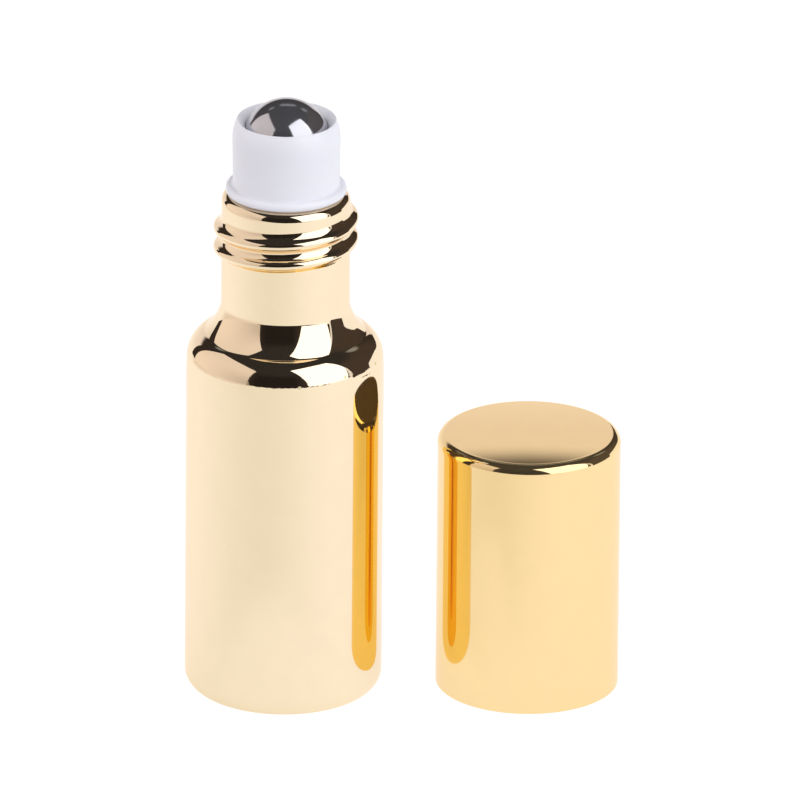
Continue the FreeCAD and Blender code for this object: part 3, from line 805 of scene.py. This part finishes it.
def add_sheet(name, plan, fade, top_colour):
    """A white sheet that stands on the table through points of (x, y, height of its top) in
    millimetres; fade is the share of its height over which it thins out at the top.

    It shows in the metal alone, goes to another tone towards its top, and gives the plastic the
    same light as the room does. On the back sheet that tone is painted shade, greyer towards the top.
    """
    feet = [(x * MM, y * MM, 0) for x, y, top in plan]
    tops = [(x * MM, y * MM, top * MM) for x, y, top in plan]
    count = len(plan)
    faces = [(i, i + 1, count + i + 1, count + i) for i in range(count - 1)]
    sheet, tree, surface = stage_mesh(name, feet + tops, faces)
    sheet.visible_camera = False
    sheet.visible_shadow = False
    corners = [0.0, 0.0, 1.0, 0.0, 1.0, 1.0, 0.0, 1.0]
    sheet.data.uv_layers.new(name="unfold").data.foreach_set("uv", corners * (count - 1))
    height = add_split(tree, tree.nodes.new("ShaderNodeTexCoord").outputs["UV"])["Y"]
    # painted shade where the top colour is darker than SHEET_WHITE
    colour = add_mix(tree, add_ramp(tree, height, *SHEET_BLEND, 0, 1), SHEET_WHITE, top_colour)
    diffuse_ray = tree.nodes.new("ShaderNodeLightPath").outputs["Is Diffuse Ray"]
    glow = tree.nodes.new("ShaderNodeEmission")
    tree.links.new(add_mix(tree, diffuse_ray, colour, PLASTIC_FILL), glow.inputs["Color"])
    seen = tree.nodes.new("ShaderNodeMixShader")
    tree.links.new(add_ramp(tree, height, 1 - fade, 1, 1, 0), seen.inputs[0])
    tree.links.new(tree.nodes.new("ShaderNodeBsdfTransparent").outputs[0], seen.inputs[1])
    tree.links.new(glow.outputs[0], seen.inputs[2])
    tree.links.new(seen.outputs[0], surface)


ROOM_LOW = (0.028, 0.020, 0.016)
ROOM_HIGH = (0.023, 0.021, 0.021)
ROOM_RISE = (0.35, 0.7)
FRONT_SHARE = 0.35
FRONT_ZONE = ((-48, -30), (12, 24), (0.5, 0.75))
RIGHT_BROWN = (0.052, 0.037, 0.028)
RIGHT_ZONE = ((84, 88), (140, 160), (0.6, 0.8))
STRIP_WHITE = (0.9, 0.9, 0.9)
STRIP_ZONE = ((80.5, 81.5), (83.5, 84.5), (0.72, 0.76))
LAMP_GLOW = (0.27, 0.28, 0.28)
LAMPS = ((-172, 47, 7), (178, 48, 8), (168, 46, 7), (143, 41, 7), (-147, 43, 6))


def lamp_mask(tree, way, azimuth, elevation, reach):
    """A soft round mask about a direction; azimuth, elevation and reach in degrees."""
    azimuth = math.radians(azimuth)
    elevation = math.radians(elevation)
    level = math.cos(elevation)
    toward = tree.nodes.new("ShaderNodeVectorMath")
    toward.operation = "DOT_PRODUCT"
    tree.links.new(way, toward.inputs[0])
    toward.inputs[1].default_value = (
        level * math.sin(azimuth), -level * math.cos(azimuth), math.sin(elevation))
    return add_ramp(tree, toward.outputs["Value"], math.cos(math.radians(reach)), 1, 0, 1)


def light_room():
    """The world: white where the camera sees it, and in the metal a dim room with a narrow bright
    strip on the right and a few faint lamps high at the back.

    A zone is given by the azimuths in degrees over which it starts and ends, and by the heights on
    a sphere of radius one over which it fades out.
    """
    world = bpy.data.worlds.new("studio")
    bpy.context.scene.world = world
    world.use_nodes = True
    tree = world.node_tree
    way = tree.nodes.new("ShaderNodeTexCoord").outputs["Generated"]
    parts = add_split(tree, way)
    turn = add_azimuth(tree, parts)
    room = add_mix(tree, add_ramp(tree, parts["Z"], *ROOM_RISE, 0, 1), ROOM_LOW, ROOM_HIGH)
    masks = []
    for start, end, top in (FRONT_ZONE, RIGHT_ZONE, STRIP_ZONE):
        across = add_band(tree, turn, np.radians(start).tolist(), np.radians(end).tolist())
        masks.append(add_product(tree, across, add_ramp(tree, parts["Z"], *top, 1, 0)))
    front, right, strip = masks
    room = add_mix(tree, front, room, dimmed(ROOM_LOW, FRONT_SHARE))
    room = add_mix(tree, right, room, RIGHT_BROWN)
    lamps = lamp_mask(tree, way, *LAMPS[0])
    for lamp in LAMPS[1:]:
        lamps = add_math(tree, "MAXIMUM", lamps, lamp_mask(tree, way, *lamp))
    room = add_mix(tree, lamps, room, LAMP_GLOW)
    room = add_mix(tree, strip, room, STRIP_WHITE)
    rays = tree.nodes.new("ShaderNodeLightPath").outputs
    room = add_mix(tree, rays["Is Diffuse Ray"], room, PLASTIC_FILL)
    sky = tree.nodes["Background"].inputs
    tree.links.new(add_mix(tree, rays["Is Camera Ray"], room, WHITE), sky["Color"])
    sky["Strength"].default_value = 1


def add_panel(name, azimuth, width, foot, head, glow, colour):
    """An upright or leaning soft panel that faces the bottle. Foot and head are the distance and
    height of its lower and upper edge; azimuth is in degrees, 0 is the front and 90 the right.

    Its glow is the brightness that a mirror shows, so its power is that times pi and its area.
    """
    angle = math.radians(azimuth)
    (near, low), (far, high) = foot, head
    length = math.hypot(far - near, high - low)
    lamp = bpy.data.lights.new(name, "AREA")
    lamp.shape = "RECTANGLE"
    lamp.size = width
    lamp.size_y = length
    lamp.energy = glow * math.pi * width * length
    lamp.color = colour
    panel = bpy.data.objects.new(name, lamp)
    distance = (near + far) / 2
    panel.location = (distance * math.sin(angle), -distance * math.cos(angle), (low + high) / 2)
    panel.rotation_euler = (math.radians(90) - math.atan2(near - far, high - low), 0, angle)
    panel.visible_camera = False
    bpy.context.scene.collection.objects.link(panel)
    return lamp


PANEL_ALONG = (-470 * MM, 210 * MM)
PANEL_ENDS = (0.7, 1.12)
PANEL_EVEN = (60 * MM, 450 * MM)


def shade_foot(lamp):
    """Near its foot, a panel along Y goes from a dimmer front end to a brighter back end, as
    PANEL_ENDS says. It gets even over the heights of PANEL_EVEN."""
    lamp.use_nodes = True
    tree = lamp.node_tree
    parts = add_split(tree, tree.nodes.new("ShaderNodeNewGeometry").outputs["Position"])
    ends = add_ramp(tree, parts["Y"], *PANEL_ALONG, *PANEL_ENDS)
    even = add_ramp(tree, parts["Z"], *PANEL_EVEN, 0, 1)
    tree.links.new(add_mix(tree, even, ends, 1.0, "FLOAT"), tree.nodes["Emission"].inputs["Strength"])


add_floor()
add_sheet("back_sheet", BACK_SHEET, BACK_FADE, SHEET_TOP_SHADE)
add_sheet("side_sheet", SIDE_SHEET, SIDE_FADE, SHEET_WHITE)
light_room()
left_panel = add_panel("left_panel", azimuth=-85.25, width=732 * MM, foot=(400 * MM, 0),
                       head=(400 * MM, 640 * MM), glow=0.82, colour=(1.0, 0.90, 0.85))
shade_foot(left_panel)
add_panel("right_panel", azimuth=52, width=500 * MM, foot=(570 * MM, 5 * MM),
          head=(285 * MM, 743 * MM), glow=1.7, colour=(0.97, 0.97, 1.0))


# Camera.
# Placed as for the photograph: a very long lens that looks down a little and leans by half a
# degree. Its scale is in pixels for each metre at the target, in a picture of PICTURE_WIDTH.
CAMERA_DISTANCE = 2200 * MM
CAMERA_ELEVATION = math.radians(22.2)
CAMERA_ROLL = 0.0088
CAMERA_SCALE = 9915
CAMERA_SENSOR = 36.0
CAMERA_TARGET = Vector((11.62 * MM, 0, 30.98 * MM))
CAMERA_RANGE = (100 * MM, 10000 * MM)
PICTURE_WIDTH = 800

lens = bpy.data.cameras.new("camera")
lens.lens = CAMERA_DISTANCE * CAMERA_SCALE * CAMERA_SENSOR / PICTURE_WIDTH
lens.sensor_width = CAMERA_SENSOR
lens.clip_start, lens.clip_end = CAMERA_RANGE
camera = bpy.data.objects.new("camera", lens)
bpy.context.scene.collection.objects.link(camera)
back = Vector((0, -math.cos(CAMERA_ELEVATION), math.sin(CAMERA_ELEVATION)))
upright = Vector((0, back.z, -back.y))
across = Vector((1, 0, 0))
turned_across = math.cos(CAMERA_ROLL) * across + math.sin(CAMERA_ROLL) * upright
turned_up = math.cos(CAMERA_ROLL) * upright - math.sin(CAMERA_ROLL) * across
pose = Matrix((turned_across, turned_up, back)).transposed().to_4x4()
pose.translation = CAMERA_TARGET + back * CAMERA_DISTANCE
camera.matrix_world = pose
bpy.context.scene.camera = camera
bpy.context.scene.view_settings.view_transform = "Standard"
